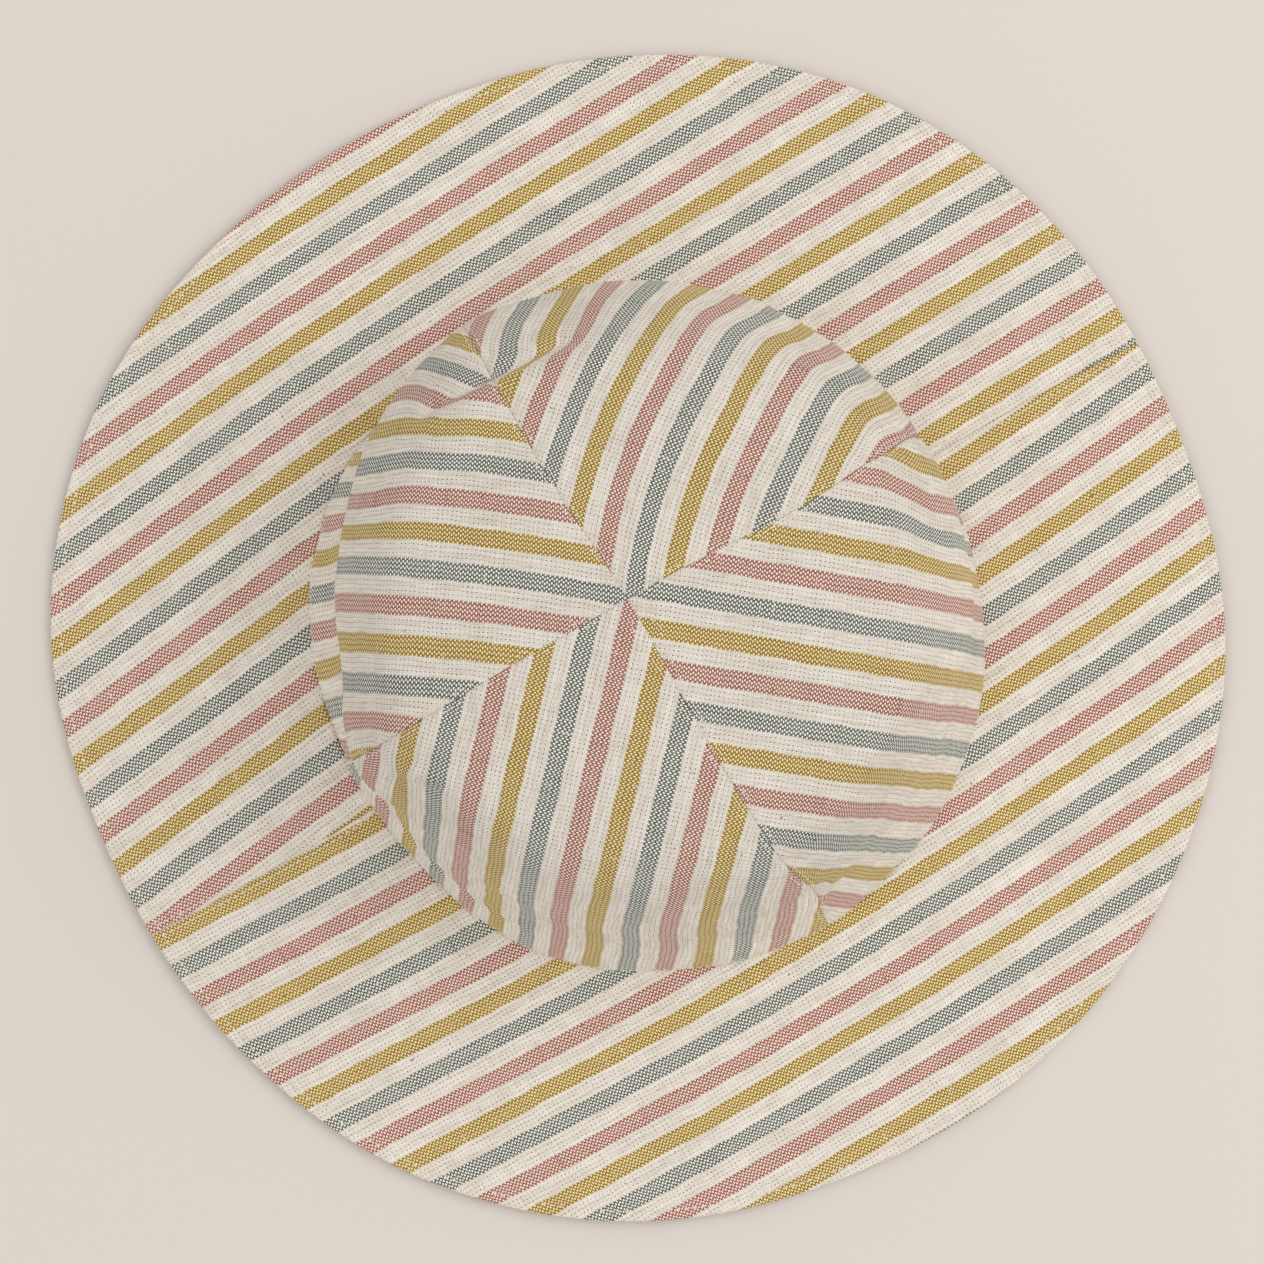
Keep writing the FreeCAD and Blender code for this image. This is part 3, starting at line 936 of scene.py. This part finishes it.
def make_brim_top(name):
    t = spread_end(BRIM_WIDTH, 1.25)
    t = np.unique(np.concatenate([t, np.array([0.3, 0.7, 1.2, 1.8]) / BRIM_WIDTH]))
    phi, point, normal, length, _, h = brim_surface(name, spread(BRIM_ARC, 1.3), t)
    made = point + normal * h[..., None]
    # The inner edge goes down into the seam.
    inward = made[0] - made[1]
    inward /= np.linalg.norm(inward, axis=-1, keepdims=True)
    hidden = made[0] + 1.3 * inward - (0, 0, 0.5)
    over = rolled(point, normal, h[-1][..., None], ROLL_TOP)
    made = np.concatenate([hidden[None], made, over])
    uv = brim_rows(name, phi, length, [1.3], ROLL_CLOTH)
    piece, node = "brim_cloth_top_" + name, "brim_top_" + name
    return cloth_piece(piece, made, 0.7, striped, node, uv)


def make_brim_under(name):
    t = spread_end(BRIM_WIDTH, 1.6)
    t = np.unique(np.concatenate([t, [0.3 / BRIM_WIDTH, 1 / BRIM_WIDTH]]))
    phi, point, normal, length, gap, h = brim_surface(name, spread(BRIM_ARC, 1.6), t)
    sink = THICK - h * 0.4 - 0.25 * np.exp(-gap / 0.5)
    made = point - normal * sink[..., None]
    # The seam allowance reaches in under the sweatband.
    inward = made[0] - made[1]
    inward[..., 2] = 0
    inward /= np.linalg.norm(inward, axis=-1, keepdims=True)
    lip = np.stack([made[0] + w * inward - (0, 0, z) for w, z in ALLOWANCE])
    made = np.concatenate([lip, made, rolled(point, normal, 0.0, ROLL_UNDER)])
    made[..., 2] = np.maximum(made[..., 2], 0.12)
    uv = brim_rows(name, phi, length, [w for w, _ in ALLOWANCE], ROLL_CLOTH[:3])
    # Its stripes don't lie under those of the upper side.
    uv[..., 0] += 4.1 if name == "back" else -7.0
    piece, node = "brim_cloth_under_" + name, "brim_under_" + name
    return cloth_piece(piece, made, 0.6, striped, node, uv, flip=True)


def make_interlining():
    phi = np.linspace(0, FULL, 361)[None]
    t = np.linspace(0.01, 0.985, 24)[:, None]
    point, normal, _ = brim.at(*np.broadcast_arrays(phi, t))
    made = point - normal * 0.95
    return cloth_piece(
        "brim_stiffener", made, 0.3, stiffener, "brim_interlining"
    )


tops = {name: make_brim_top(name) for name in HALVES}
unders = {name: make_brim_under(name) for name in HALVES}
inner = make_interlining()


# ---- stitching --------------------------------------------------------------

STITCH = 2.1  # from one stitch to the next
SIDES = 6  # of a stitch's cross-section
RINGS = 7  # cross-sections of a stitch
BASE_ROW = 1.3  # from the crown's base to its row of stitches
CROWN_ROW = 1.1  # from a crown seam to each of its two rows
BRIM_ROW = 1.5  # from a brim seam to each of its two rows


def stitch_row(line, normal, seed, width, rise):
    """Points, faces and shares from middle to end of a row of stitches."""
    rng = np.random.default_rng(seed)
    step = np.linalg.norm(np.diff(line, axis=0), axis=1)
    run = np.concatenate([[0], np.cumsum(step)])
    count = max(int(round(run[-1] / STITCH)), 1)
    pitch = run[-1] / count
    points, faces, ends = [], [], []

    def at(s, table):
        s = np.clip(s, 0, run[-1])
        return np.array([np.interp(s, run, table[:, c]) for c in range(3)])

    for k in range(count):
        start = (k + 0.5) * pitch + rng.uniform(-0.06, 0.06)
        half = pitch * 0.5 * rng.uniform(0.80, 0.90)
        size = width / 2 * rng.uniform(0.9, 1.08)
        slew = rng.uniform(-0.07, 0.07)
        base = k * RINGS * SIDES
        for r in range(RINGS):
            a = r / (RINGS - 1) * 2 - 1
            s = np.clip(start + a * half, 0, run[-1])
            n = at(s, normal)
            q = at(s + 0.2, line) - at(s - 0.2, line)
            n /= np.linalg.norm(n)
            q /= np.linalg.norm(q)
            w = np.cross(n, q)
            dip = rise - 0.45 * abs(a) ** 3.2
            centre = at(s, line) + n * dip + w * slew * a
            thin = size * (1 - 0.35 * abs(a) ** 4)
            for j in range(SIDES):
                b = FULL * j / SIDES
                points.append(centre + w * math.cos(b) * thin + n * math.sin(b) * thin * 0.8)
                ends.append(abs(a))
        for r in range(RINGS - 1):
            for j in range(SIDES):
                i, m = base + r * SIDES + j, base + r * SIDES + (j + 1) % SIDES
                faces.append((i, m, m + SIDES, i + SIDES))
        last = base + (RINGS - 1) * SIDES
        faces.append(tuple(base + j for j in reversed(range(SIDES))))
        faces.append(tuple(last + j for j in range(SIDES)))
    return points, faces, ends


def make_stitches(name, rows, node, width, rise):
    """One piece for all the stitches of a CAD thread node."""
    points, faces, ends = [], [], []
    for k, (line, normal) in enumerate(rows):
        p, f, e = stitch_row(line, normal, 100 + 7 * k + len(name), width, rise)
        faces += [tuple(i + len(points) for i in face) for face in f]
        points += p
        ends += e
    share = np.array(ends)
    uv = np.stack([share, share], -1)
    points = np.array(points)
    new_piece(name, points, faces, thread, node, uv, "Stitch", 1.0)


def on_crown(phi, t, gap):
    """Points and normals of a line on the crown's cloth."""
    point, normal, length = crown.at(phi, t)
    h = crown_relief(point, t, length, crown.whole(phi), gap)
    return creased(point + normal * h[:, None], t), normal


def on_brim(phi, t, gap, under):
    """Points and normals of a line on the brim's upper or under side."""
    point, normal, length = brim.at(phi, t)
    h = brim_relief(point, length, brim.whole(phi), gap)
    if under:
        made = point - normal * (THICK - h * 0.4)[:, None]
        made[:, 2] = np.maximum(made[:, 2], 0.2)
        return made, -normal
    return point + normal * h[:, None], normal


def ring_gap(table, phi, t, radius):
    """Distance from points of a ring to the nearest seam."""
    gap = np.full(len(phi), 1e3)
    for name in table:
        centre = seam_azimuth(table, name, np.array([t]))[0]
        gap = np.minimum(gap, np.abs(wrapped(phi - centre)) * radius)
    return gap


def crown_seam_rows(names):
    rows = []
    t = np.linspace(0.03, 0.985, 400)
    gap = np.full(len(t), CROWN_ROW)
    for name in names:
        phi = seam_azimuth(CROWN_SEAMS, name, t)
        r = np.maximum(from_middle(crown.at(phi, t)[0]), 3)
        rows += [on_crown(phi + side * CROWN_ROW / r, t, gap) for side in (-1, 1)]
    return rows


def crown_base_row():
    phi = np.linspace(0, FULL, 900)
    t = 1 - BASE_ROW / crown.whole(phi)
    return [on_crown(phi, t, ring_gap(CROWN_SEAMS, phi, 0.99, 83))]


def brim_edge_rows():
    phi = np.linspace(0, FULL, 1400)
    t = 1 - EDGE_ROW / brim.whole(phi)
    gap = ring_gap(BRIM_SEAMS, phi, 0.97, 143)
    return [on_brim(phi, t, gap, under) for under in (False, True)]


def brim_seam_rows(name):
    t = np.linspace(0.02, 0.975, 200)
    phi = seam_azimuth(BRIM_SEAMS, name, t)
    point = brim.at(phi, t)[0]
    off = BRIM_ROW / np.hypot(point[:, 0], point[:, 1])
    gap = np.full(len(t), BRIM_ROW)
    sides = [(under, side) for under in (False, True) for side in (-1, 1)]
    return [on_brim(phi + side * off, t, gap, under) for under, side in sides]


# For each thread: its rows, where it sews, its width, and how high it lies.
THREADS = {
    "brim_edge": (brim_edge_rows(), "brim_edge", 0.42, 0.10),
    "crown_base": (crown_base_row(), "crown_base", 0.30, 0.02),
    "crown_sides": (crown_seam_rows(["right", "left"]), "crown_side_seam", 0.26, 0.05),
    "crown_back": (crown_seam_rows(["back"]), "crown_back_seam", 0.26, 0.05),
    "crown_front": (crown_seam_rows(["front"]), "crown_front_seam", 0.26, 0.05),
    "brim_right": (brim_seam_rows("right"), "brim_right_seam", 0.34, 0.05),
    "brim_left": (brim_seam_rows("left"), "brim_left_seam", 0.34, 0.05),
}
for name, (rows, node, width, rise) in THREADS.items():
    make_stitches("thread_" + name, rows, node + "_stitching", width, rise)


# ---- table, lights and camera -----------------------------------------------

REACH = 6000.0  # half of the table's side
CAMERA = (-1.25, 1.0, 800.0)  # above the hat's middle
HALF_FRAME = 0.158 / 0.8  # half of what the camera sees, for each metre away


def make_table():
    mesh = bpy.data.meshes.new("table")
    corners = [[-1, -1, 0], [1, -1, 0], [1, 1, 0], [-1, 1, 0]]
    mesh.from_pydata(place(np.array(corners) * REACH).tolist(), [], [(0, 1, 2, 3)])
    table = bpy.data.objects.new("table", mesh)
    bpy.context.scene.collection.objects.link(table)
    make = Maker("Pale table", 0.9)
    grain = make.noise(make.object_place(), 900.0, 3.0)
    make.colour(make.mix(grain, rgb(0.86, 0.83, 0.80), rgb(0.875, 0.845, 0.815)))
    mesh.materials.append(make.material)


def area_light(name, where, size, power, colour):
    """A round light that faces the hat."""
    light = bpy.data.lights.new(name, "AREA")
    light.shape = "DISK"
    light.size = size
    light.energy = power
    light.color = colour
    lamp = bpy.data.objects.new(name, light)
    bpy.context.scene.collection.objects.link(lamp)
    lamp.location = place_one(*where)
    way = Vector(place_one(0, 0, 20)) - lamp.location
    lamp.rotation_euler = way.to_track_quat("-Z", "Y").to_euler()


make_table()
area_light("Key", (900, 300, 1200), 1.2, 7.0, (1.0, 0.985, 0.965))
area_light("Fill", (-900, -500, 1300), 1.6, 2.2, (0.98, 0.985, 1.0))

world = bpy.data.worlds.new("Studio")
bpy.context.scene.world = world
world.use_nodes = True
background = world.node_tree.nodes["Background"]
background.inputs["Color"].default_value = (1.0, 0.99, 0.985, 1)
background.inputs["Strength"].default_value = 0.775
bpy.context.scene.view_settings.view_transform = "Standard"

camera_data = bpy.data.cameras.new("Camera")
camera = bpy.data.objects.new("Camera", camera_data)
bpy.context.scene.collection.objects.link(camera)
camera.location = place_one(*CAMERA)
camera.rotation_euler = (0.0, 0.0, -TURN)
camera_data.angle = 2 * math.atan(HALF_FRAME)
bpy.context.scene.camera = camera
